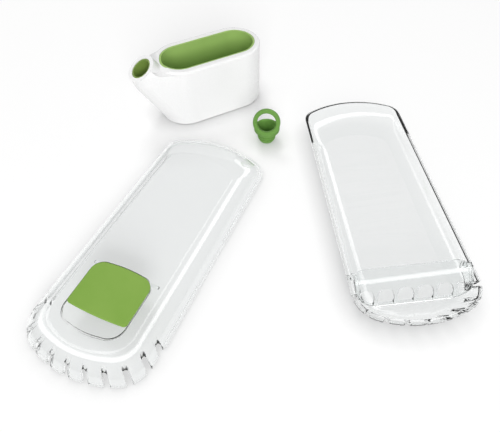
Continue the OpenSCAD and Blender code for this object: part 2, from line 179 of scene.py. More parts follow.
def turned(points, place, turn):
    """Points turned about Z by turn degrees and moved along the table; z is kept."""
    a = math.radians(turn)
    x, y = points[:, 0], points[:, 1]
    return np.column_stack([place[0] + x * math.cos(a) - y * math.sin(a),
                            place[1] + x * math.sin(a) + y * math.cos(a), points[:, 2]])


def joined(parts, loops=()):
    """Points and faces of several closed grids; in loops the last ring joins the first."""
    points, faces, first = [], [], 0
    for k, rings in enumerate([*parts, *loops]):
        grid_points, grid_faces = stack(rings, join_last=k >= len(parts))
        points.append(grid_points)
        faces += [[corner + first for corner in face] for face in facing_out(grid_points, grid_faces)]
        first += len(grid_points)
    return np.vstack(points), faces

# %% [markdown]
# ## Finishes
# The keeper is glossy white, leaf green and clear plastic, with a green silicone stopper and a
# grey foot pad. One flat colour for each would look like paint. So a very fine noise breaks
# up the gloss and a broad one drifts the colour a little, as in moulded plastic. The noise is
# worked out from the place on the piece, so it stays with the piece when that moves.

# %% Material helpers
def new_material(name):
    """A node material that holds only an output node: the material, its tree and that node."""
    material = bpy.data.materials.new(name)
    material.use_nodes = True
    tree = material.node_tree
    tree.nodes.clear()
    output = tree.nodes.new("ShaderNodeOutputMaterial")
    return material, tree, output


def feed(tree, socket, value):
    """Links a node's input to another node's output, or gives it a plain value."""
    if isinstance(value, bpy.types.NodeSocket):
        tree.links.new(value, socket)
    else:
        socket.default_value = value


def node(tree, kind, *in_order, **by_name):
    """Adds a node; its inputs are fed in their order or by name, with _ for a space.

    A name in lower case is one of the node's own settings."""
    made = tree.nodes.new("ShaderNode" + kind)
    for key, value in by_name.items():
        if key.islower():
            setattr(made, key, value)
        else:
            feed(tree, made.inputs[key.replace("_", " ")], value)
    for socket, value in zip(made.inputs, in_order):
        feed(tree, socket, value)
    return made


def worked_out(tree, operation, *values):
    """The result of one Math node on numbers or sockets."""
    return node(tree, "Math", *values, operation=operation).outputs[0]


def spread(tree, value, start, stop, low, high):
    """value from start to stop, spread from low to high."""
    made = node(tree, "MapRange", Value=value, From_Min=start, From_Max=stop, To_Min=low, To_Max=high)
    return made.outputs["Result"]


def noise(tree, scale, detail=2.0):
    """Noise on Object coordinates; scale counts its bumps in a metre."""
    place = node(tree, "TexCoord").outputs["Object"]
    return node(tree, "TexNoise", Vector=place, Scale=scale, Detail=detail).outputs["Fac"]


NOISE_LOW, NOISE_HIGH = 0.3, 0.7    # where most of a noise's values lie
GRAIN_STRENGTH = 0.35


def colour_between(tree, factor, low, high):
    """Two colours spread over a noise."""
    made = node(tree, "ValToRGB", Fac=factor)
    first, last = made.color_ramp.elements
    first.color, first.position = (*low, 1), NOISE_LOW
    last.color, last.position = (*high, 1), NOISE_HIGH
    return made.outputs["Color"]


def plastic(name, shade, other_shade, rough, rough_to, drift, grain, grain_depth, **shader):
    """Moulded plastic: colour drifts over drift bumps a metre, gloss breaks over grain bumps."""
    material, tree, output = new_material(name)
    fine = noise(tree, grain)
    bump = node(tree, "Bump", Strength=GRAIN_STRENGTH, Distance=grain_depth, Height=fine)
    skin = node(tree, "BsdfPrincipled", **shader,
                Base_Color=colour_between(tree, noise(tree, drift), shade, other_shade),
                Roughness=spread(tree, fine, NOISE_LOW, NOISE_HIGH, rough, rough_to),
                Normal=bump.outputs["Normal"])
    feed(tree, output.inputs["Surface"], skin.outputs["BSDF"])
    return material


white_plastic = plastic("white_plastic", (0.87, 0.87, 0.87), (0.89, 0.89, 0.89),
                        0.22, 0.30, 18, 1500, 0.00002, IOR=1.5)
green_plastic = plastic("green_plastic", (0.32, 0.49, 0.14), (0.345, 0.52, 0.155),
                        0.42, 0.50, 30, 2500, 0.00003, IOR=1.5)
# The spout's lining: the tank's green made darker, painted shade for the inside of the spout.
spout_green_painted_shade = plastic("spout_green_painted_shade", (0.19, 0.29, 0.06), (0.21, 0.31, 0.07),
                      0.42, 0.50, 30, 2500, 0.00003, IOR=1.5)
silicone = plastic("silicone", (0.122, 0.272, 0.05), (0.142, 0.305, 0.062),
                   0.48, 0.58, 60, 3000, 0.00004, IOR=1.42)
pad_green = plastic("pad_green", (0.212, 0.378, 0.060), (0.237, 0.403, 0.072),
                    0.55, 0.65, 40, 4000, 0.00005, IOR=1.45)
foot_grey = plastic("foot_grey", (0.10, 0.105, 0.105), (0.13, 0.135, 0.135),
                    0.7, 0.8, 40, 3000, 0.00005)

# %% [markdown]
# The clear plastic bends light as the real one does, and its gloss is broken by faint
# moulding marks. Light on its way to the table goes straight through it with a slight loss,
# so that the table under a clear piece is nearly as pale as it is in life.

# %% Clear plastic
MARK_COUNT, MARK_STRENGTH, MARK_DEPTH = 60, 0.05, 0.0001    # moulding marks, depth in metres


def clear_plastic(name, tint, passed, rough, rough_to):
    """Refracting plastic that lets lamps through with the share given as a colour."""
    material, tree, output = new_material(name)
    marks = noise(tree, MARK_COUNT, 3)
    bump = node(tree, "Bump", Strength=MARK_STRENGTH, Distance=MARK_DEPTH, Height=marks)
    skin = node(tree, "BsdfPrincipled", Base_Color=(*tint, 1), IOR=1.49, Transmission_Weight=1.0,
                Roughness=spread(tree, marks, NOISE_LOW, NOISE_HIGH, rough, rough_to),
                Normal=bump.outputs["Normal"])
    path = node(tree, "LightPath")
    let_through = node(tree, "BsdfTransparent", Color=(*passed, 1)).outputs["BSDF"]
    shader = skin.outputs["BSDF"]
    for ray in ("Is Shadow Ray", "Is Diffuse Ray"):
        shader = node(tree, "MixShader", path.outputs[ray], shader, let_through).outputs["Shader"]
    feed(tree, output.inputs["Surface"], shader)
    return material


clear = clear_plastic("clear_plastic", (0.95, 0.962, 0.96), (0.90, 0.905, 0.905), 0.02, 0.05)

# %% [markdown]
# ## Table and light
# The table is a plain pale plane. The camera and mirrors see it white, clear plastic sees it
# pale grey, and it still takes the soft shadows. Close to each piece the camera's white fades,
# which paints a soft shade round and under the pieces. A light behind the pieces lays their
# soft shadows towards the viewer, and one in front fills the base's side and its well. A ring
# of light overhead shows only in gloss and clear plastic: it draws the long white lines on the
# round edges of the clear pieces. What those edges see low down is darker, which gives clear
# plastic its thin grey lines.

# %% Table
TABLE_HALF = 6000.0                 # mm
TABLE_SHADE = 0.68
WHITE_LIFT = 0.335                  # white added for the camera and for mirrors
# Painted shade: ambient occlusion takes the camera's white off the table close to the pieces.
PAINTED_SHADE_REACH = 0.018                  # metres from a piece within which the camera's white fades
PAINTED_SHADE_DARK, PAINTED_SHADE_OPEN = 0.10, 0.98   # open share of the sky at which it is gone, and full
PAINTED_SHADE_SAMPLES = 8


def table_material():
    """A pale matt table lifted to white; for the camera the lift fades near a piece, a painted shade."""
    material, tree, output = new_material("table")
    path = node(tree, "LightPath")
    sky = node(tree, "AmbientOcclusion", Distance=PAINTED_SHADE_REACH, samples=PAINTED_SHADE_SAMPLES).outputs["AO"]
    unshaded_share = spread(tree, sky, PAINTED_SHADE_DARK, PAINTED_SHADE_OPEN, 0.0, 1.0)
    seen = worked_out(tree, "MULTIPLY", path.outputs["Is Camera Ray"], unshaded_share)
    seen = worked_out(tree, "MAXIMUM", seen, path.outputs["Is Glossy Ray"])
    lift = worked_out(tree, "MULTIPLY", seen, WHITE_LIFT)
    matt = node(tree, "BsdfDiffuse", Color=(TABLE_SHADE, TABLE_SHADE, TABLE_SHADE, 1))
    glow = node(tree, "Emission", Color=(1, 1, 1, 1), Strength=lift)
    both = node(tree, "AddShader", matt.outputs["BSDF"], glow.outputs["Emission"])
    feed(tree, output.inputs["Surface"], both.outputs["Shader"])
    return material


corners = np.array([[-1, -1, 0], [1, -1, 0], [1, 1, 0], [-1, 1, 0]]) * TABLE_HALF
table_top = new_object("table_top", corners, [[0, 1, 2, 3]], table_material())
print("table:", 2 * TABLE_HALF * MM, "m across")

# %% Light
BACK_SHINE, FRONT_SHINE = 7.2, 9.2
LAMP_TARGET = (0, -100, 0)          # mm
TENT_FILL = 0.50                    # even light on matt surfaces
SEEN_TOP, SEEN_EDGE = 0.60, 0.33    # the dome that mirrors and clear plastic see, top and foot
EDGE_RISE = 0.45                    # height at which the dome reaches its top brightness
RING_SHINE = 3.4
RING_AXIS = (0.05, 0.50, 0.865)     # the ring's middle, towards which flat faces mirror
RING_COS, RING_HALF, RING_SOFT = 0.64, 0.045, 0.06      # its cosine, half width and soft edge
RING_LOW, RING_FULL = 0.25, 0.42    # heights between which the ring fades in


def lamp(name, place, size, shine):
    """A square soft box that lights matt surfaces, but shows in no gloss or clear plastic.

    Its place and size are in millimetres, and it faces LAMP_TARGET."""
    data = bpy.data.lights.new(name, "AREA")
    data.shape = "SQUARE"
    data.size = size * MM
    data.energy = shine * math.pi * (size * MM) ** 2
    made = bpy.data.objects.new(name, data)
    made.location = [c * MM for c in place]
    aim = Vector(LAMP_TARGET) - Vector(place)
    made.rotation_euler = aim.to_track_quat("-Z", "Y").to_euler()
    made.visible_glossy = False
    made.visible_transmission = False
    bpy.context.collection.objects.link(made)


lamp("back_light", (300, 1700, 2400), 1000, BACK_SHINE)
lamp("front_light", (-900, -2300, 1150), 1300, FRONT_SHINE)


def tent(tree):
    """Even light for matt surfaces; for mirrors and clear plastic a dome that darkens towards
    the horizon, with a ring of light overhead; white for the camera."""
    way = node(tree, "TexCoord").outputs["Generated"]
    height = node(tree, "SeparateXYZ", way).outputs["Z"]
    dome = spread(tree, height, 0.0, EDGE_RISE, SEEN_EDGE, SEEN_TOP)
    turn = node(tree, "VectorMath", way, RING_AXIS, operation="DOT_PRODUCT").outputs["Value"]
    off = worked_out(tree, "ABSOLUTE", worked_out(tree, "SUBTRACT", turn, RING_COS))
    ring = spread(tree, off, RING_HALF, RING_HALF + RING_SOFT, RING_SHINE, 0.0)
    ends = spread(tree, height, RING_LOW, RING_FULL, 0.0, 1.0)
    mirrored = worked_out(tree, "MULTIPLY_ADD", ring, ends, dome)
    path = node(tree, "LightPath").outputs
    gloss = worked_out(tree, "MAXIMUM", path["Is Glossy Ray"], path["Is Transmission Ray"])
    lit = node(tree, "Mix", Factor=gloss, A=TENT_FILL, B=mirrored).outputs["Result"]
    shown = node(tree, "Mix", Factor=path["Is Camera Ray"], A=lit, B=1.0).outputs["Result"]
    background = tree.nodes["Background"]
    feed(tree, background.inputs["Strength"], shown)
    feed(tree, background.inputs["Color"], (1, 1, 1, 1))


world = bpy.data.worlds.new("tent")
world.use_nodes = True
bpy.context.scene.world = world
tent(world.node_tree)
print("lamps:", BACK_SHINE, FRONT_SHINE)

# %% [markdown]
# ## The pod's outline
# Seen from above, each half of the pod is a long shape with one broad arc at each end and a
# round corner on each side of it. The outline is four arcs and two straight sides, worked
# out for one side and mirrored. Every surface of a half is this outline drawn in by an amount
# that grows on the way to the flat face, so the outline's points can be the columns of a grid.

# %% Pod outline
POD_LENGTH, END_HALF, TOP_HALF = 238.0, 49.9, 47.1
END_CORNER, END_ARC, TOP_CORNER, TOP_ARC = 25.0, 90.0, 14.0, 87.0
HALF_DEPTH, WALL = 17.5, 2.0
END_ROUND, TOP_ROUND, SIDE_ROUND = 15.0, 29.0, 15.0
TRAY_INSET = 2.3
FACE_TURN = 70.0      # degrees of the ellipse that the sides follow
END_POINTS, CORNER_POINTS = 60, 50


def corner_back(arc_radius, corner, half):
    """How far from its end a corner's centre lies, for an end arc that blends into it."""
    return arc_radius - math.sqrt((arc_radius - corner) ** 2 - (half - corner) ** 2)


END_BACK = corner_back(END_ARC, END_CORNER, END_HALF)
TOP_BACK = corner_back(TOP_ARC, TOP_CORNER, TOP_HALF)
END_TURN = math.degrees(math.atan2(END_HALF - END_CORNER, END_ARC - END_BACK))
TOP_TURN = math.degrees(math.atan2(TOP_HALF - TOP_CORNER, TOP_ARC - TOP_BACK))


def one_side():
    """From the toothed end's middle along the left side (v above 0) to the top's middle."""
    start = arc((END_ARC, 0), END_ARC, 180, 180 - END_TURN, END_POINTS)
    near = arc((END_BACK, END_HALF - END_CORNER), END_CORNER, 180 - END_TURN, 90, CORNER_POINTS)[1:]
    far = arc((POD_LENGTH - TOP_BACK, TOP_HALF - TOP_CORNER), TOP_CORNER, 90, TOP_TURN, 40)
    end = arc((POD_LENGTH - TOP_ARC, 0), TOP_ARC, TOP_TURN, 0, 60)[1:]
    steps = np.linspace(0, 1, 130)[1:-1, None]
    side = lerp(near[-1], far[0], steps)
    return np.vstack([start, near, side, far, end])


HALF_LINE = one_side()
HALF_ALONG = np.concatenate([[0], np.cumsum(np.linalg.norm(np.diff(HALF_LINE, axis=0), axis=1))])
SIDE_LENGTH = HALF_ALONG[-1]


def outline_at(along):
    """Places and outward directions at signed distances from the toothed end's middle.

    Positive distances run along the left side, negative ones along the right side."""
    far = np.abs(along)
    hand = np.where(along < 0, -1.0, 1.0)
    place = np.stack([np.interp(far, HALF_ALONG, HALF_LINE[:, k]) for k in (0, 1)], -1)
    step = 0.05
    ahead = np.stack([np.interp(far + step, HALF_ALONG, HALF_LINE[:, k]) for k in (0, 1)], -1)
    behind = np.stack([np.interp(far - step, HALF_ALONG, HALF_LINE[:, k]) for k in (0, 1)], -1)
    way = unit(ahead - behind)
    outward = np.stack([-way[:, 1], way[:, 0]], -1)
    place[:, 1] *= hand
    outward[:, 1] *= hand
    return place, outward


def drawn_in(place, end_in, top_in, side_in):
    """The outline's points moved inwards by one amount at each end and one at the sides."""
    u = end_in + place[:, 0] * (POD_LENGTH - end_in - top_in) / POD_LENGTH
    return np.stack([u, place[:, 1] * (END_HALF - side_in) / END_HALF], -1)


def dome_ring(place, start_in, height, z):
    """The ring of a rounded half at height z (a number for each column).

    The surface leans in by 1 - cos t while it rises by sin t, up to t = FACE_TURN. The part
    of the ellipse above that is left out, so the side meets the flat face at a soft crease."""
    z = np.broadcast_to(np.asarray(z, float), len(place))
    full = math.radians(FACE_TURN)
    rise = np.clip(z / height, 0, 1) * math.sin(full)
    lean = (1 - np.sqrt(1 - rise ** 2)) / (1 - math.cos(full))
    flat = drawn_in(place, start_in + END_ROUND * lean, start_in + TOP_ROUND * lean,
                    start_in + SIDE_ROUND * lean)
    return np.column_stack([flat, z])


def side_normals(along, start_in, height, z):
    """Outward normals of a rounded half: the cross product of its slopes along and up."""
    h = 0.05
    z = np.clip(np.broadcast_to(np.asarray(z, float), len(along)), h, height - h)

    def spot(a, b):
        """Points of the surface at distances a along it and heights b."""
        return dome_ring(outline_at(a)[0], start_in, height, b)

    across = spot(along + h, z) - spot(along - h, z)
    up = spot(along, z + h) - spot(along, z - h)
    normal = unit(np.cross(across, up))
    place = outline_at(along)[0] - (POD_LENGTH / 2, 0)
    return normal * np.sign(np.sum(normal[:, :2] * place, axis=1))[:, None]


def side_heights(low, height, count):
    """Heights for each column from low to the flat face, in even steps round the bend."""
    full = math.radians(FACE_TURN)
    first = np.arcsin(low / height * math.sin(full))
    return [height * np.sin(lerp(first, full, share)) / math.sin(full)
            for share in np.linspace(0, 1, count)]


def standing_out(ring, outward, amount):
    """A ring whose columns are moved along their outward directions by an amount each."""
    moved = ring.copy()
    moved[:, :2] += outward * np.broadcast_to(amount, len(ring))[:, None]
    return moved


def rings_and_normals(stacked):
    """Pairs of ring and normals as one array of rings and one of normals."""
    return np.stack([ring for ring, facing in stacked]), np.stack([facing for ring, facing in stacked])

# %% [markdown]
# ## Teeth and rails as heights along the outline
# The notches in the toothed end are not cut out afterwards. The edge of the shell is a
# height that depends on the place along the outline: nought between the notches, and the
# notch's round top within one. The rails work the same way, as a height and a stand-out for
# each column. A pair of columns close together makes each upright side.

# %% Edge heights
NOTCH_PITCH, NOTCH_WIDTH, NOTCH_HEIGHT, SIDE_NOTCHES = 15.2, 4.6, 12.0, 4
STEP_GAP = 0.12       # mm between the two columns of an upright side
STEP_CLEAR = 0.25     # mm from a step within which no even column is kept
FINE = 640            # even columns round the outline


def with_steps(plain, steps):
    """Distances along the outline with a close pair of columns at each step."""
    keep = plain[np.min(np.abs(plain[:, None] - steps[None, :]), axis=1) > STEP_CLEAR]
    pairs = np.concatenate([steps - STEP_GAP / 2, steps + STEP_GAP / 2])
    return np.sort(np.concatenate([keep, pairs]))


def notch_edge(along, centres, width, height):
    """The edge's height: nought, or within a notch its slot with a half-round top."""
    off = np.min(np.abs(along[:, None] - np.asarray(centres)[None, :]), axis=1)
    half = width / 2
    inside = off < half
    return np.where(inside, height - half + np.sqrt(np.clip(half ** 2 - off ** 2, 0, None)), 0.0)


def columns(steps, fine):
    """Columns all round the outline: even ones, more of them near the notches, and pairs."""
    base = np.linspace(-SIDE_LENGTH, SIDE_LENGTH, fine, endpoint=False)
    close = [c + np.linspace(-0.5, 0.5, 13)[1:-1] * NOTCH_WIDTH for c in NOTCH_CENTRES]
    return with_steps(np.unique(np.concatenate([base] + close)), np.asarray(steps))


NOTCH_CENTRES = np.arange(-SIDE_NOTCHES, SIDE_NOTCHES + 1) * NOTCH_PITCH
NOTCH_STEPS = np.concatenate([NOTCH_CENTRES - NOTCH_WIDTH / 2, NOTCH_CENTRES + NOTCH_WIDTH / 2])
SIDE_START = HALF_ALONG[END_POINTS + CORNER_POINTS - 1]     # at the straight side's first point


def side_distance(u):
    """Distance along the outline to the point at u on a straight side, within 1.5 mm."""
    return SIDE_START + (u - END_BACK)


COVER_PLACE, COVER_TURN = (-18.7, -68.1), 38.3      # the top's middle, on the table
TRAY_PLACE, TRAY_TURN = (108.6, -79.9), 69.7


def on_cover(points):
    """Points of the pod's own frame (toothed end at 0) as the cover lies on the table."""
    return turned(points - (POD_LENGTH, 0, 0), COVER_PLACE, COVER_TURN)


def on_tray(points):
    """Points of the pod's own frame as the tray lies on the table."""
    return turned(points - (POD_LENGTH, 0, 0), TRAY_PLACE, TRAY_TURN)


print("outline:", round(2 * SIDE_LENGTH), "mm round,", len(NOTCH_CENTRES), "notches")

# %% [markdown]
# ## The clear cover
# On the real object the cover is one thin clear shell, edge down: teeth at one end, a rail
# round the other end and parts of the sides, and a window in the face for the latch. It could
# be a solid with cuts. One closed grid is better here, because clear plastic shows every
# flaw: the rings go from the edge over the rail and the dome to the window, through the
# window, and back along the inside to the edge.

# %% Cover
EDGE = 0.35           # radius of the edges
COVER_COUNT = 32      # rings from the rail to the face
RAIL_OUT, LIP_HEIGHT, UPPER_RAIL, LOWER_RAIL = 1.5, 1.2, 4.0, 3.4
RAIL_START, RAIL_STOP, RAIL_AGAIN = 44.0, 95.0, 140.0
RAIL_STEP = 0.1       # mm between the rings of the rail's softened corners
CORNER_GAP, CORNER_GAP_AT = 14.0, 0.5 * (TOP_HALF + 6)  # in the rail, from the top's middle
SIDE_GAP, SIDE_GAP_WIDTH, SIDE_GAP_HEIGHT = 39.0, 5.0, 9.0
LATCH_START, LATCH_LENGTH, LATCH_WIDTH = 27.0, 53.5, 49.4
LATCH_CORNER, HINGE_CORNER = 12.0, 10.0
LATCH_GAP, LATCH_SIDE, LATCH_BEHIND = 1.2, 0.4, 0.6
NEAR_BOW, FAR_BOW = 60.0, 110.0     # radii with which the latch's two ends bow outwards


def bowed_end(v, at, bow, half, corner, way):
    """u of an end that bows outwards with radius bow and turns into round corners."""
    bend = np.minimum(np.abs(v), half - corner)
    into = np.clip(np.abs(v) - (half - corner), 0, corner)
    return at - way * (bow - np.sqrt(bow ** 2 - bend ** 2) + corner - np.sqrt(corner ** 2 - into ** 2))


def latch_loop(grow_near, grow_far, grow_side, count=1440):
    """The latch's outline as a closed loop, grown by a gap on each side."""
    half = LATCH_WIDTH / 2 + grow_side
    v = half * np.sin(np.radians(np.linspace(-90, 90, 400)))
    near = bowed_end(v, LATCH_START - grow_near, NEAR_BOW, half, LATCH_CORNER + grow_side, -1)
    far_at = LATCH_START + LATCH_LENGTH + grow_far
    far = bowed_end(v, far_at, FAR_BOW, half, HINGE_CORNER + grow_side, 1)
    return even_loop(np.vstack([np.column_stack([far, v]), np.column_stack([near, v])[::-1]]), count)


def seen_from(centre, loop, place):
    """For each place, the loop's point that lies in the same direction from the centre."""
    def bearing(points):
        """Direction from the centre to each point."""
        return np.arctan2(points[:, 1] - centre[1], points[:, 0] - centre[0])

    order = np.argsort(bearing(loop))
    angles, sorted_loop = bearing(loop)[order], loop[order]
    return np.stack([np.interp(bearing(place), angles, sorted_loop[:, k], period=2 * math.pi)
                     for k in (0, 1)], -1)


def cover_columns():
    """Distances, edge heights, rail heights and rail stand-outs of the cover's columns."""
    gap_at = side_distance(SIDE_GAP)
    rail_steps = [side_distance(u) for u in (RAIL_START, RAIL_STOP, RAIL_AGAIN)]
    corner_stop = -(SIDE_LENGTH - CORNER_GAP_AT)
    corner_start = corner_stop - CORNER_GAP
    gap_steps = [gap_at - SIDE_GAP_WIDTH / 2, gap_at + SIDE_GAP_WIDTH / 2]
    steps = np.concatenate([NOTCH_STEPS, gap_steps, np.negative(gap_steps), rail_steps,
                            np.negative(rail_steps), [corner_stop, corner_start]])
    along = columns(steps, FINE)
    edge = np.maximum(notch_edge(along, NOTCH_CENTRES, NOTCH_WIDTH, NOTCH_HEIGHT),
                      notch_edge(along, [gap_at, -gap_at], SIDE_GAP_WIDTH, SIDE_GAP_HEIGHT))
    far = np.abs(along)
    out = np.where(far > rail_steps[0], RAIL_OUT, 0.0)
    rail = np.where(far > rail_steps[0], LIP_HEIGHT, edge + 0.8)
    rail = np.where((far > rail_steps[0]) & (far < rail_steps[1]), LOWER_RAIL, rail)
    rail = np.where(far > rail_steps[2], UPPER_RAIL, rail)
    rail = np.where((along < corner_stop) & (along > corner_start), LIP_HEIGHT, rail)
    return along, edge, rail, out


def cover_rings():
    """Rings and normals of the whole cover: rail, dome, face, window, inner face, dome, edge."""
    along, edge, rail, out = cover_columns()
    place, outward = outline_at(along)
    low, high = HALF_DEPTH - WALL, HALF_DEPTH

    def outside(z, stand_out):
        """A ring of the outer face at height z, moved outwards."""
        return standing_out(dome_ring(place, 0, high, z), outward, stand_out)

    def inside(z, stand_out):
        """A ring of the inner face at height z, moved outwards."""
        return standing_out(dome_ring(place, WALL, low, z), outward, stand_out)

    count = len(along)
    nought = np.zeros((count, 3))
    up = np.tile([0.0, 0.0, 1.0], (count, 1))
    ledge = (out > 0).astype(float)
    stacked = [(outside(edge, out - EDGE), nought),
               (outside(edge + 0.3 * EDGE, out - 0.3 * EDGE), nought),
               (outside(edge + EDGE, out), nought),
               (outside(rail - EDGE, out), nought),
               (outside(rail - RAIL_STEP, out - RAIL_STEP * ledge), nought),
               (outside(rail, out - EDGE * ledge), nought),
               (outside(rail + RAIL_STEP, 0), nought)]
    for z in side_heights(rail + RAIL_STEP, high, COVER_COUNT)[1:]:
        stacked.append((outside(z, 0), side_normals(along, 0, high, z)))
    outer = stacked[-1][0][:, :2]
    inner = inside(low, 0)[:, :2]
    centre = (LATCH_START + LATCH_LENGTH / 2, 0)
    loops = [latch_loop(LATCH_GAP + grow, LATCH_BEHIND + grow, LATCH_SIDE + grow) for grow in (0, EDGE)]
    window, wider = [seen_from(centre, loop, outer) for loop in loops]
    for share in (0.02, 0.35, 0.7):
        stacked.append((np.column_stack([lerp(outer, wider, share), np.full(count, high)]), up))
    for flat, z, facing in ((wider, high, up), (lerp(wider, window, 0.7), high - 0.3 * EDGE, nought),
                            (window, high - EDGE, nought), (window, low + EDGE, nought),
                            (lerp(wider, window, 0.7), low + 0.3 * EDGE, nought), (wider, low, -up)):
        stacked.append((np.column_stack([flat, np.full(count, z)]), facing))
    for share in (0.7, 0.35, 0.02):
        stacked.append((np.column_stack([lerp(inner, wider, share), np.full(count, low)]), -up))
    for z in side_heights(edge + EDGE, low, COVER_COUNT)[::-1]:
        stacked.append((inside(z, 0), -side_normals(along, WALL, low, z)))
    stacked.append((inside(edge + 0.3 * EDGE, 0.3 * EDGE), nought))
    stacked.append((inside(edge, EDGE), nought))
    return rings_and_normals(stacked)


rings, facing = cover_rings()
points, faces = stack(rings, join_last=True)
cover_piece = make_piece("cover", on_cover(points), faces, "cover", clear, 35,
                         turned(facing.reshape(-1, 3), (0, 0), COVER_TURN))
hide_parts("cover_shell")
print("cover:", rings.shape[0], "rings of", rings.shape[1])

# %% [markdown]
# ## The clear tray
# The tray is the same shell turned over, a little smaller so that it fits inside the
# cover's edge, with a thicker band round its rim and no window. Its grid runs from the middle
# of the underside over the dome to the rim and back down the inside to the middle of the
# floor.

# %% Tray
BAND = 3.0            # height and thickness of the band round the rim
TRAY_COUNT = 36       # rings from the rim to the flat underside


def tray_rings():
    """Rings and normals of the whole tray, rim at z 0 here: outside, rim with its band, inside."""
    along = columns(NOTCH_STEPS, FINE)
    edge = notch_edge(along, NOTCH_CENTRES, NOTCH_WIDTH, NOTCH_HEIGHT)
    place, outward = outline_at(along)
    low, high = HALF_DEPTH - WALL, HALF_DEPTH
    inset = TRAY_INSET + WALL

    def flat(ring, share, z):
        """The ring drawn by a share of the way to the pod's middle, all at height z."""
        centre = np.array([POD_LENGTH / 2, 0])
        return np.column_stack([lerp(ring[:, :2], centre, share), np.full(len(along), z)])

    nought = np.zeros((len(along), 3))
    up = np.tile([0.0, 0.0, 1.0], (len(along), 1))
    top = dome_ring(place, TRAY_INSET, high, high)
    stacked = [(flat(top, 0.2, high), up), (flat(top, 0.02, high), up)]
    for z in side_heights(edge + EDGE, high, TRAY_COUNT)[::-1]:
        stacked.append((dome_ring(place, TRAY_INSET, high, z), side_normals(along, TRAY_INSET, high, z)))
    for rise, back in ((0.3 * EDGE, 0.3 * EDGE), (0, EDGE)):
        ring = dome_ring(place, TRAY_INSET, high, edge + rise)
        stacked.append((standing_out(ring, outward, -back), nought))
    banded = edge < BAND
    thick = np.where(banded, BAND, WALL)
    shelf = np.where(banded, BAND, edge + 1.2)

    def band(z, back):
        """A ring of the band's upright inner face, which lies back from the rim's outline."""
        upright = drawn_in(place, TRAY_INSET, TRAY_INSET, TRAY_INSET)
        upright = upright - outward * back[:, None]
        dome = dome_ring(place, inset, low, z)
        return np.column_stack([np.where(banded[:, None], upright, dome[:, :2]), z])

    for ring in (band(edge, thick - EDGE), band(edge + 0.3 * EDGE, thick - 0.3 * EDGE),
                 band(edge + EDGE, thick), band(shelf - 0.3, thick), dome_ring(place, inset, low, shelf)):
        stacked.append((ring, nought))
    for z in side_heights(shelf + 0.05, low, TRAY_COUNT):
        stacked.append((dome_ring(place, inset, low, z), -side_normals(along, inset, low, z)))
    floor_ring = stacked[-1][0]
    stacked += [(flat(floor_ring, 0.02, low), -up), (flat(floor_ring, 0.2, low), -up)]
    rings, facing = rings_and_normals(stacked)
    rings[:, :, 2] = high - rings[:, :, 2]
    return rings, facing * (1, 1, -1)


rings, facing = tray_rings()
points, faces = stack(rings)
tray_piece = make_piece("tray", on_tray(points), faces, "tray", clear, 35,
                        turned(facing.reshape(-1, 3), (0, 0), TRAY_TURN))
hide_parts("tray_shell")
print("tray:", rings.shape[0], "rings of", rings.shape[1])

# %% [markdown]
# ## The press latch
# In the cover's window sits a clear plate with a green pad on it; a press near its free end
# tips it about two pins at its other end. A flat plate with cut corners would do from far off.
# Here each part is a slab: for every place across the cover the near and far edges are
# numbers, so one formula gives the bowed ends and all four round corners, and the section
# that is carried across has its own round edges.

# %% Slabs
FLAT_COUNT, TURN_COUNT = 22, 7      # points on each flat and on each round edge of a section
STEP_HALF = 0.04                    # mm on each side of a step in a slab's top
STOP_SHORT = 0.999                  # keeps the last point of a stretch off its round edge


def slab(near, far, half, low, high, edge, step=None, step_low=0.0, crown=0.0, across=150):
    """Rings of a rounded slab, carried across from one side to the other.

    near and far give the ends for each v. Each ring is the section at one v: a box whose
    corners are arcs of radius edge, drawn in near the sides by edge - sqrt(edge^2 - d^2).
    Beyond the u that step gives, the top lies lower by step_low; crown bows the top."""
    v = half * np.sin(np.radians(np.linspace(-90, 90, across)))
    into = np.clip(np.abs(v) - (half - edge), 0, edge)
    radius = np.sqrt(edge ** 2 - into ** 2)[:, None]
    a, b = (near(v) + edge)[:, None], (far(v) - edge)[:, None]
    run = np.linspace(0, 1, FLAT_COUNT + 2)[1:-1]
    quarter = np.linspace(0, 90, TURN_COUNT)
    share = np.concatenate([run, np.ones(2 * TURN_COUNT), run[::-1], np.zeros(2 * TURN_COUNT)])
    turn = np.radians(np.concatenate([np.full(FLAT_COUNT, -90), quarter - 90, quarter,
                                      np.full(FLAT_COUNT, 90), quarter + 90, quarter + 180]))
    far_top = slice(FLAT_COUNT + TURN_COUNT, FLAT_COUNT + 2 * TURN_COUNT)
    top = slice(far_top.stop, far_top.stop + FLAT_COUNT)
    near_top = slice(top.stop, top.stop + TURN_COUNT)
    upper = np.zeros(len(turn))
    upper[far_top.start:near_top.stop] = 1
    u = a + (b - a) * share + radius * np.cos(turn)
    z = low + edge + (high - low - 2 * edge) * upper + radius * np.sin(turn)
    if step is not None:
        at = step(v)[:, None]
        k = np.arange(FLAT_COUNT)[::-1]
        half_count = FLAT_COUNT // 2
        before = (1 - k / (half_count - 1)) * STOP_SHORT
        behind = (k - half_count) / (half_count - 1) * STOP_SHORT
        u[:, top] = np.where(k < half_count, at - STEP_HALF - (at - STEP_HALF - a) * before,
                             at + STEP_HALF + (b - at - STEP_HALF) * behind)
        z[:, far_top] -= step_low
        z[:, top] -= np.where(k < half_count, 0, step_low)
    z[:, top] -= crown * (2 * share[top] - 1) ** 2
    z[:, far_top] -= crown
    z[:, near_top] -= crown
    return np.stack([u, np.broadcast_to(v[:, None], u.shape), z], -1)


def turned_bar(centre_u, centre_z, v, radius, count=32):
    """Rings of a bar that lies across: circles of the given radius at each v."""
    a = np.linspace(0, 2 * math.pi, count, endpoint=False)
    radius = np.asarray(radius)[:, None]
    across = np.broadcast_to(np.asarray(v)[:, None], (len(v), count))
    return np.stack([centre_u + radius * np.cos(a), across, centre_z + radius * np.sin(a)], -1)


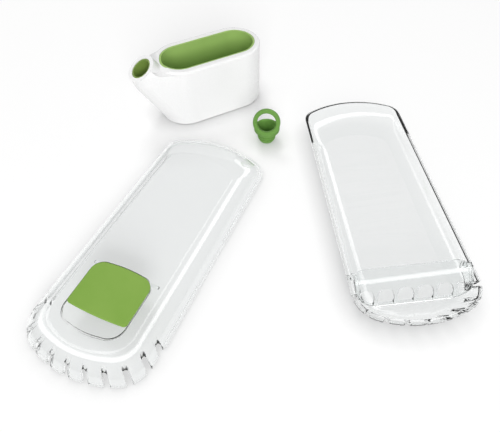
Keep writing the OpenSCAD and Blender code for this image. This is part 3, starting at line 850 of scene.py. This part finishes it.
# %% Latch plate
BARE_STRIP, PAD_THICK, PAD_SEAT, PAD_BOW, PAD_CORNER = 12.5, 1.2, 0.5, 250.0, 3.0
PLATE_EDGE, PAD_EDGE, PAD_CROWN = 0.4, 0.5, 0.08
PAD_CLEAR = 0.06                    # mm between the pad and the step in front of it
HINGE_U, HINGE_Z, PIN, KNUCKLE, KNUCKLE_HALF, PIN_END = 78.0, 13.0, 1.2, 2.2, 18.0, 27.7
KNUCKLE_ROUND, PIN_ROUND = 0.4, 0.3
LATCH_HALF = LATCH_WIDTH / 2


def plate_near(v):
    """The plate's free end."""
    return bowed_end(v, LATCH_START, NEAR_BOW, LATCH_HALF, LATCH_CORNER, -1)


def plate_far(v):
    """The plate's hinged end."""
    return bowed_end(v, LATCH_START + LATCH_LENGTH, FAR_BOW, LATCH_HALF, HINGE_CORNER, 1)


def pad_near(v):
    """The pad's end beside the bare strip."""
    return bowed_end(v, LATCH_START + BARE_STRIP, PAD_BOW, LATCH_HALF, PAD_CORNER, -1)


plate = slab(plate_near, plate_far, LATCH_HALF, HALF_DEPTH - WALL, HALF_DEPTH, PLATE_EDGE,
             step=lambda v: pad_near(v) - PAD_CLEAR, step_low=PAD_SEAT)
ends = np.array([KNUCKLE_HALF - KNUCKLE_ROUND, KNUCKLE_HALF])
knuckle_v = np.concatenate([-ends[::-1], [-KNUCKLE_HALF / 2, 0, KNUCKLE_HALF / 2], ends])
knuckle_end = [KNUCKLE - KNUCKLE_ROUND]
knuckle = turned_bar(HINGE_U, HINGE_Z, knuckle_v, knuckle_end + [KNUCKLE] * 5 + knuckle_end)
pin_v = np.array([KNUCKLE_HALF - 0.1, PIN_END - PIN_ROUND, PIN_END])
pins = [turned_bar(HINGE_U, HINGE_Z, side * pin_v, [PIN, PIN, PIN - PIN_ROUND]) for side in (-1, 1)]
points, faces = joined([plate, knuckle, *pins])
latch_piece = make_piece("latch", on_cover(points), faces, "latch", clear)
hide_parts("latch_plate")
print("latch plate:", len(points), "points")

# %% [markdown]
# The pad is one soft green moulding, slightly crowned, with a fine round edge. It could be
# the plate's own shape coloured green. It is a slab of its own, half a millimetre deep in
# the plate, because on the real object its thickness shows as a step.

# %% Green pad
pad_low = HALF_DEPTH - PAD_SEAT
pad = slab(pad_near, plate_far, LATCH_HALF, pad_low, pad_low + PAD_THICK, PAD_EDGE, crown=PAD_CROWN)
points, faces = stack(pad)
pad_piece = make_piece("pad", on_cover(points), faces, "latch", pad_green)
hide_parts("grip_pad")
print("pad:", len(points), "points")

# %% [markdown]
# ## The stem comb
# The comb is a clear band, bent like a quarter of an ellipse, that swings on two pins at the
# tray's toothed end. Six arched windows let the stems through. The band could be a solid
# with six holes cut out. Here each window is its own patch of a grid: rings that pass from
# the arch to the edge of the window's share of the band. The patches meet point for point
# and are merged. All points then go onto the bent surface, and a Solidify modifier gives
# the thickness.

# %% Comb's bent surface
COMB_BACK, COMB_REACH, COMB_RISE, COMB_FOOT, COMB_THICK = 47.0, 22.0, 18.0, 4.0, 2.0
COMB_CORNER, COMB_ROUND = 9.0, 0.9  # upper corners of the band, and its edges
WINDOWS, WINDOW_PITCH, WINDOW_HALF, WINDOW_TOP, WINDOW_FOOT = 6, 14.7, 5.9, 17.0, 6.5
WINDOW_ARCH, WINDOW_SILL = 5.2, 1.0     # radii of a window's upper and lower corners
ROOM_CLEAR, ROOM_ABOVE = 1.6, 0.3   # mm left free beside the comb and over it
ROOM_IN = TRAY_INSET + WALL + ROOM_CLEAR
CHEEK = 2.4
PIVOT_U, PIVOT_Z, PIN_RADIUS = 45.0, 14.3, 2.0

comb_angle = np.radians(np.linspace(180, 90, 400))
COMB_LINE = np.stack([COMB_BACK + COMB_REACH * np.cos(comb_angle),
                      COMB_FOOT + COMB_RISE * np.sin(comb_angle)], -1)
COMB_ALONG = np.concatenate([[0], np.cumsum(np.linalg.norm(np.diff(COMB_LINE, axis=0), axis=1))])
COMB_LENGTH = COMB_ALONG[-1]


def comb_place(along):
    """u and z on the bent band, a distance along it from its foot."""
    return np.interp(along, COMB_ALONG, COMB_LINE[:, 0]), np.interp(along, COMB_ALONG, COMB_LINE[:, 1])


def room_half(u, z):
    """Half width of the room inside the tray at each u and z, for a piece that must fit."""
    height = HALF_DEPTH - WALL - ROOM_ABOVE
    rise = np.clip(HALF_DEPTH - z, 0, height)
    full = math.radians(FACE_TURN)
    lean = (1 - np.sqrt(1 - (rise / height * math.sin(full)) ** 2)) / (1 - math.cos(full))
    end_in, side_in, top_in = [ROOM_IN + amount * lean for amount in (END_ROUND, SIDE_ROUND, TOP_ROUND)]
    plain = (u - end_in) * POD_LENGTH / (POD_LENGTH - end_in - top_in)
    return np.interp(plain, HALF_LINE[:, 0], HALF_LINE[:, 1]) * (END_HALF - side_in) / END_HALF


def band_half(along):
    """Half width of the band, with its two upper corners rounded off."""
    u, z = comb_place(along)
    into = np.clip(along - (COMB_LENGTH - COMB_CORNER), 0, COMB_CORNER)
    return room_half(u, z) - (COMB_CORNER - np.sqrt(COMB_CORNER ** 2 - into ** 2))


# %% Comb's window patches
def along_at(z):
    """Distance along the band of the place at height z."""
    return np.interp(z, COMB_LINE[:, 1], COMB_ALONG)


WINDOW_LOW, WINDOW_HIGH = along_at(WINDOW_FOOT), along_at(WINDOW_TOP)
WINDOW_MIDDLE = (WINDOW_LOW + WINDOW_HIGH) / 2


def reach_inside(direction, inside, furthest=60.0):
    """Distance from a patch's centre to the edge of a shape, along each direction."""
    s = np.linspace(0, furthest, 6001)
    v = s[None, :] * direction[:, :1]
    w = WINDOW_MIDDLE + s[None, :] * direction[:, 1:]
    return s[np.argmin(inside(v, w), axis=1) - 1]


def patch_directions():
    """Bearings round a patch, with one for each corner of its share of the band."""
    half, up, down = WINDOW_PITCH / 2, COMB_LENGTH - WINDOW_MIDDLE, WINDOW_MIDDLE
    corners = [math.atan2(up, half), math.atan2(-down, half)]
    corners += [math.pi - c for c in corners]
    plain = np.radians(np.arange(0, 360, 3.0))
    near = np.abs((plain[:, None] - np.array(corners)[None, :] + math.pi) % (2 * math.pi) - math.pi)
    bearing = np.sort(np.concatenate([plain[near.min(axis=1) > 0.02], np.mod(corners, 2 * math.pi)]))
    return np.stack([np.cos(bearing), np.sin(bearing)], -1)


def window_inside(v, w, centre):
    """Whether a place is inside a window: straight sides, an arched top, clear of the cheek."""
    def past(radius, beyond):
        """Distance from the middle of a round corner, nought on the window's side of it."""
        return np.hypot(np.maximum(np.abs(v) - (WINDOW_HALF - radius), 0), np.maximum(beyond + radius, 0))

    arched = past(WINDOW_ARCH, w - WINDOW_HIGH) < WINDOW_ARCH
    silled = past(WINDOW_SILL, WINDOW_LOW - w) < WINDOW_SILL
    held = np.abs(v + centre) < band_half(np.clip(w, 0, COMB_LENGTH)) - CHEEK
    between_ends = (w > WINDOW_LOW) & (w < WINDOW_HIGH)
    return arched & silled & held & between_ends & (np.abs(v) < WINDOW_HALF)


def share_inside(v, w, centre, last):
    """Whether a place is inside a window's share of the band."""
    wide = np.abs(v) < WINDOW_PITCH / 2
    if last:
        wide = np.where(v * np.sign(centre) > 0, True, wide)
    held = np.abs(v + centre) < band_half(np.clip(w, 0, COMB_LENGTH))
    return wide & held & (w > 0) & (w < COMB_LENGTH)


def straight_reach(direction):
    """Distance from a patch's centre to the four straight edges of its share."""
    tiny = 1e-9
    across = WINDOW_PITCH / 2 / np.maximum(np.abs(direction[:, 0]), tiny)
    room = np.where(direction[:, 1] > 0, COMB_LENGTH - WINDOW_MIDDLE, WINDOW_MIDDLE)
    return np.minimum(across, room / np.maximum(np.abs(direction[:, 1]), tiny))


FAR_OFF = 99.0        # mm, beyond every edge of the band
WELD_WITHIN = 0.02    # mm


def comb_patches():
    """Points (v, along) and quads of the windows' patches, before they are merged.

    The share's edge is worked out twice: straight_reach is exact where neighbours meet, and
    reach_inside finds the round ends of the band."""
    directions = patch_directions()
    shares = np.array([0, 0.06, 0.14, 0.25, 0.4, 0.55, 0.7, 0.85, 1.0])
    sheets, quads, first = [], [], 0
    for i in range(WINDOWS):
        centre = (i - (WINDOWS - 1) / 2) * WINDOW_PITCH
        last = i in (0, WINDOWS - 1)
        inner = reach_inside(directions, lambda v, w: window_inside(v, w, centre))
        outer = reach_inside(directions, lambda v, w: share_inside(v, w, centre, last))
        edge = straight_reach(directions)
        outward = directions[:, 0] * np.sign(centre) > 0 if last else np.zeros(len(directions), bool)
        edge = np.where(outward & (np.abs(directions[:, 0]) * edge > WINDOW_PITCH / 2 - 0.01), FAR_OFF, edge)
        outer = np.where(outer > edge - 0.03, edge, outer)
        reach = inner[None, :] + (np.maximum(outer, inner + 0.3) - inner)[None, :] * shares[:, None]
        sheet = np.stack([centre + reach * directions[None, :, 0],
                          WINDOW_MIDDLE + reach * directions[None, :, 1]], -1)
        sheets.append(sheet.reshape(-1, 2))
        made = ring_faces(len(shares), len(directions), cap_first=False, cap_last=False)
        quads += [[k + first for k in face] for face in made]
        first += len(sheets[-1])
    return np.vstack(sheets), quads


# %% Comb
flat, quads = comb_patches()
u, z = comb_place(np.clip(flat[:, 1], 0, COMB_LENGTH))
band_points = on_tray(np.column_stack([u, flat[:, 0], z]))
comb_piece = new_object("comb", band_points, quads, clear)
weld = comb_piece.modifiers.new("weld", "WELD")
weld.merge_threshold = WELD_WITHIN * MM
thicken = comb_piece.modifiers.new("thicken", "SOLIDIFY")
thicken.thickness = COMB_THICK * MM
thicken.offset = -1
thicken.use_even_offset = True
round_off(comb_piece, COMB_ROUND)
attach(comb_piece, "comb")
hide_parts("stem_comb")
print("comb:", len(flat), "points before merging")

# %% [markdown]
# At each side of the comb a small cheek holds a pin, and the two pins turn in the tray's
# wall. A cheek is a thin plate whose outline runs from the band's edge to a round boss.

# %% Comb's cheeks and pins
PIVOT = np.array([PIVOT_U, PIVOT_Z])
PIVOT_HALF = room_half(PIVOT_U, PIVOT_Z)
BOSS_RADIUS, CHEEK_TOP, CHEEK_FOOT, CHEEK_IN, PIN_REACH = 3.4, 4.0, 9.5, 0.9, 3.0


def comb_cheek(side):
    """Rings of one cheek: its outline at the inner face, over the round edge to the outer face."""
    boss = arc(PIVOT, BOSS_RADIUS, -75, 60, 24)
    lengths = np.linspace(COMB_LENGTH - CHEEK_TOP, along_at(CHEEK_FOOT), 40)
    back = np.stack(comb_place(lengths), -1)
    outline = even_loop(np.vstack([boss, back + CHEEK_IN * unit(PIVOT - back)]), 120)
    inwards = unit(outline.mean(axis=0) - outline)
    limit = np.minimum(PIVOT_HALF, room_half(outline[:, 0], outline[:, 1]))
    rings = []
    for drawn, v in ((0.5, -CHEEK), (0.15, 0.15 - CHEEK), (0, 0.5 - CHEEK),
                     (0, -0.5), (0.15, -0.15), (0.5, 0)):
        ring = outline + drawn * inwards
        rings.append(np.column_stack([ring[:, 0], side * (limit + v), ring[:, 1]]))
    return np.stack(rings)


parts = []
for side in (-1, 1):
    pin_v = side * (PIVOT_HALF + np.array([-0.5, PIN_REACH, PIN_REACH + PIN_ROUND]))
    pin = turned_bar(PIVOT_U, PIVOT_Z, pin_v, [PIN_RADIUS, PIN_RADIUS, PIN_RADIUS - PIN_ROUND])
    parts += [comb_cheek(side), pin]
points, faces = joined(parts)
cheek_piece = make_piece("comb_cheeks", on_tray(points), faces, "comb", clear)
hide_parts("stem_comb")
print("cheeks:", len(points), "points")

# %% [markdown]
# ## The stopper
# The spout's stopper is one piece of green silicone: a cup with two fine sealing ribs under a
# flared lip, and a ring pull that stands on the lip and leans back over the cup. The cup is
# a profile turned about its axis, because ribs, flare and round lip are then one line of
# radii and heights. The ring is a rounded band carried round a circle.

# %% Stopper
STOPPER_PLACE, STOPPER_TURN = (23.3, -75.1), 236.0
TIP, NECK, LIP, BODY, LIP_FLARE, LIP_BAND = 7.0, 8.6, 11.9, 10.0, 2.5, 2.5
CUP_WALL, CUP_FLOOR, RIB = 1.8, 2.0, 0.75
TIP_ROUND, LIP_ROUND, FLOOR_ROUND, RING_ROUND = 0.8, 0.9, 1.2, 1.3
RING_OUTER, RING_THICK, RING_WIDE, RING_LEAN, RING_FOOT = 12.5, 4.0, 4.5, 25.0, (11.2, 14.2)


def stopper_profile():
    """Radius and height along the cup's surface, from under the tip to the cup's floor."""
    tip = arc((TIP - TIP_ROUND, TIP_ROUND), TIP_ROUND, -90, -5, 8)
    z = np.linspace(0.9, BODY, 120)
    r = TIP + (NECK - TIP) * z / BODY
    for middle in (BODY / 3, 2 * BODY / 3):
        r = r + np.sqrt(np.clip(RIB ** 2 - (z - middle) ** 2, 0, None))
    t = np.linspace(0, 1, 14)[1:]
    flare = np.stack([lerp(NECK, LIP, t ** 1.3), BODY + LIP_FLARE * t], -1)
    top = BODY + LIP_FLARE + LIP_BAND
    band = np.vstack([arc((LIP - 0.5, BODY + LIP_FLARE + 0.3), 0.5, -20, 0, 4),
                      arc((LIP - LIP_ROUND, top - LIP_ROUND), LIP_ROUND, 0, 120, 12)])
    inner = LIP - CUP_WALL
    t = np.linspace(0, 1, 30)[1:-1]
    wall = np.stack([lerp(inner, TIP - CUP_WALL - 0.3, t), lerp(top - 0.7, CUP_FLOOR + 1, t)], -1)
    floor_corner = (TIP - CUP_WALL - FLOOR_ROUND, CUP_FLOOR + FLOOR_ROUND)
    floor = arc(floor_corner, FLOOR_ROUND, 0, -90, 8)
    middle = np.array([[2.5, CUP_FLOOR], [0.4, CUP_FLOOR]])
    start = np.array([[0.4, 0.0], [4.0, 0.0]])
    return np.vstack([start, tip, np.column_stack([r, z]), flare, band, wall, floor, middle])


def revolved(profile, count):
    """Rings of a profile of radii and heights turned about Z."""
    a = np.linspace(0, 2 * math.pi, count, endpoint=False)
    return np.stack([profile[:, :1] * np.cos(a), profile[:, :1] * np.sin(a),
                     np.broadcast_to(profile[:, 1:], (len(profile), count))], -1)


def pull_rings(count=96):
    """Sections of the ring pull: a box with round edges, carried round a leaning circle."""
    half, wide, edge = RING_THICK / 2, RING_WIDE / 2, RING_ROUND
    section = np.vstack([arc((x * (half - edge), y * (wide - edge)), edge, start, start + 90, 8)
                         for x, y, start in ((1, 1, 0), (-1, 1, 90), (-1, -1, 180), (1, -1, 270))])
    a = np.linspace(0, 2 * math.pi, count, endpoint=False)[:, None]
    out = RING_OUTER - half + section[None, :, 0]
    y, up = out * np.cos(a), RING_OUTER + out * np.sin(a)
    x = np.broadcast_to(section[None, :, 1], out.shape)
    lean = math.radians(RING_LEAN)
    return np.stack([RING_FOOT[0] + x * math.cos(lean) - up * math.sin(lean), y,
                     RING_FOOT[1] + x * math.sin(lean) + up * math.cos(lean)], -1)


points, faces = joined([revolved(stopper_profile(), 120)], loops=[pull_rings()])
points = turned(points, STOPPER_PLACE, STOPPER_TURN)
stopper_piece = make_piece("stopper", points, faces, "stopper", silicone, 35)
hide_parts("spout_stopper")
print("stopper:", len(points), "points")

# %% [markdown]
# ## The base
# The white base is a tall oval shell with a spout. Inside it are a green tank and the green
# lining of the spout, and under it a plate and a soft foot pad. They keep the shapes of the
# construction model, which has their port and seats. A fine bevel rounds the edges of all
# but the shell, whose edges are round already, and each gets its own finish. The lining's
# green is the tank's green made darker: painted shade for the inside of the spout.

# %% The base's finishes and fine edges
for name, material, width in (("base_shell", white_plastic, 0), ("water_tank", green_plastic, 0.3),
                              ("spout_liner", spout_green_painted_shade, 0.3), ("base_plate", white_plastic, 0.2),
                              ("foot_pad", foot_grey, 0.3)):
    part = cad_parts[name]
    part.data.materials.clear()
    part.data.materials.append(material)
    if width:
        round_off(part, width)
    print(name, "in", material.name)
